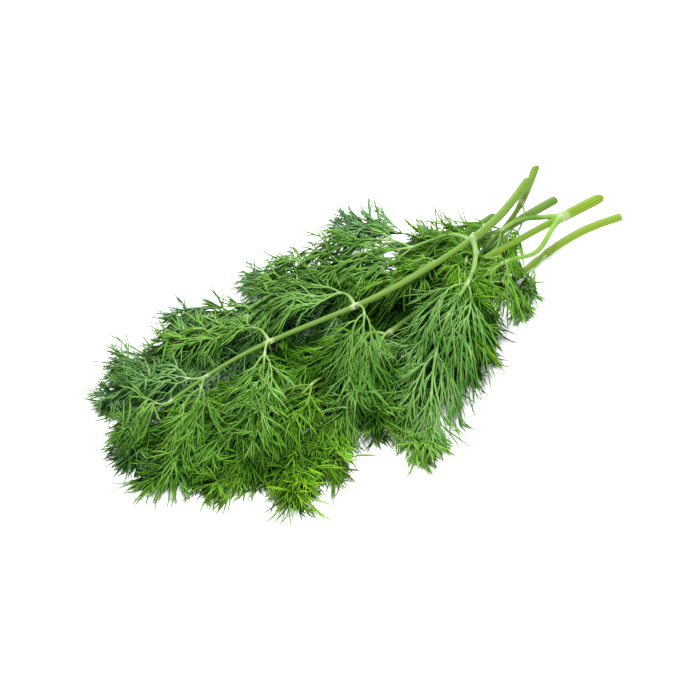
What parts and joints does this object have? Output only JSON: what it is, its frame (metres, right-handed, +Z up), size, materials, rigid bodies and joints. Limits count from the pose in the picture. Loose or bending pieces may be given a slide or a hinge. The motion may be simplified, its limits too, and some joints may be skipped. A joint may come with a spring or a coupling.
{
  "type": "dill bunch",
  "caption": "Loose bunch of fresh cut dill lying on its side: bare stems fan out at the cut end, feathery leaves heap up behind.",
  "frame": {"origin": "middle of the bunch's footprint, on the surface it lies on", "axes": "+X along the bunch towards the cut ends of the stems, +Z up"},
  "size_m": [0.2772, 0.1454, 0.0522],
  "materials": {
    "stem": "fresh green plant skin, finely ribbed lengthwise, soft sheen",
    "leaf": "fresh green thread-like leaf lobes, soft waxy sheen"
  },
  "bodies": {
    "root": {"back_leaf_1": "leaf", "back_leaf_2": "leaf", "back_leaf_3": "leaf", "back_leaf_4": "leaf", "back_leaf_5": "leaf", "back_leaf_6": "leaf", "back_leaf_7": "leaf", "back_leaf_8": "leaf", "back_stem": "stem", "front_leaf_1": "leaf", "front_leaf_2": "leaf", "front_leaf_3": "leaf", "front_leaf_4": "leaf", "front_leaf_5": "leaf", "front_leaf_6": "leaf", "front_leaf_7": "leaf", "front_leaf_8": "leaf", "front_leaf_9": "leaf", "front_stem": "stem", "low_leaf_1": "leaf", "low_leaf_2": "leaf", "low_leaf_3": "leaf", "low_leaf_4": "leaf", "low_leaf_5": "leaf", "low_leaf_6": "leaf", "low_leaf_7": "leaf", "low_leaf_8": "leaf", "low_leaf_9": "leaf", "low_stem": "stem", "middle_leaf_1": "leaf", "middle_leaf_2": "leaf", "middle_leaf_3": "leaf", "middle_leaf_4": "leaf", "middle_leaf_5": "leaf", "middle_leaf_6": "leaf", "middle_leaf_7": "leaf", "middle_leaf_8": "leaf", "middle_leaf_9": "leaf", "middle_stem": "stem", "right_leaf_1": "leaf", "right_leaf_2": "leaf", "right_leaf_3": "leaf", "right_leaf_4": "leaf", "right_leaf_5": "leaf", "right_leaf_6": "leaf", "right_leaf_7": "leaf", "right_leaf_8": "leaf", "right_leaf_9": "leaf", "right_stem": "stem", "top_leaf_1": "leaf", "top_leaf_2": "leaf", "top_leaf_3": "leaf", "top_leaf_4": "leaf", "top_leaf_5": "leaf", "top_leaf_6": "leaf", "top_leaf_7": "leaf", "top_leaf_8": "leaf", "top_leaf_9": "leaf", "top_stem": "stem"}
  },
  "joints": []
}
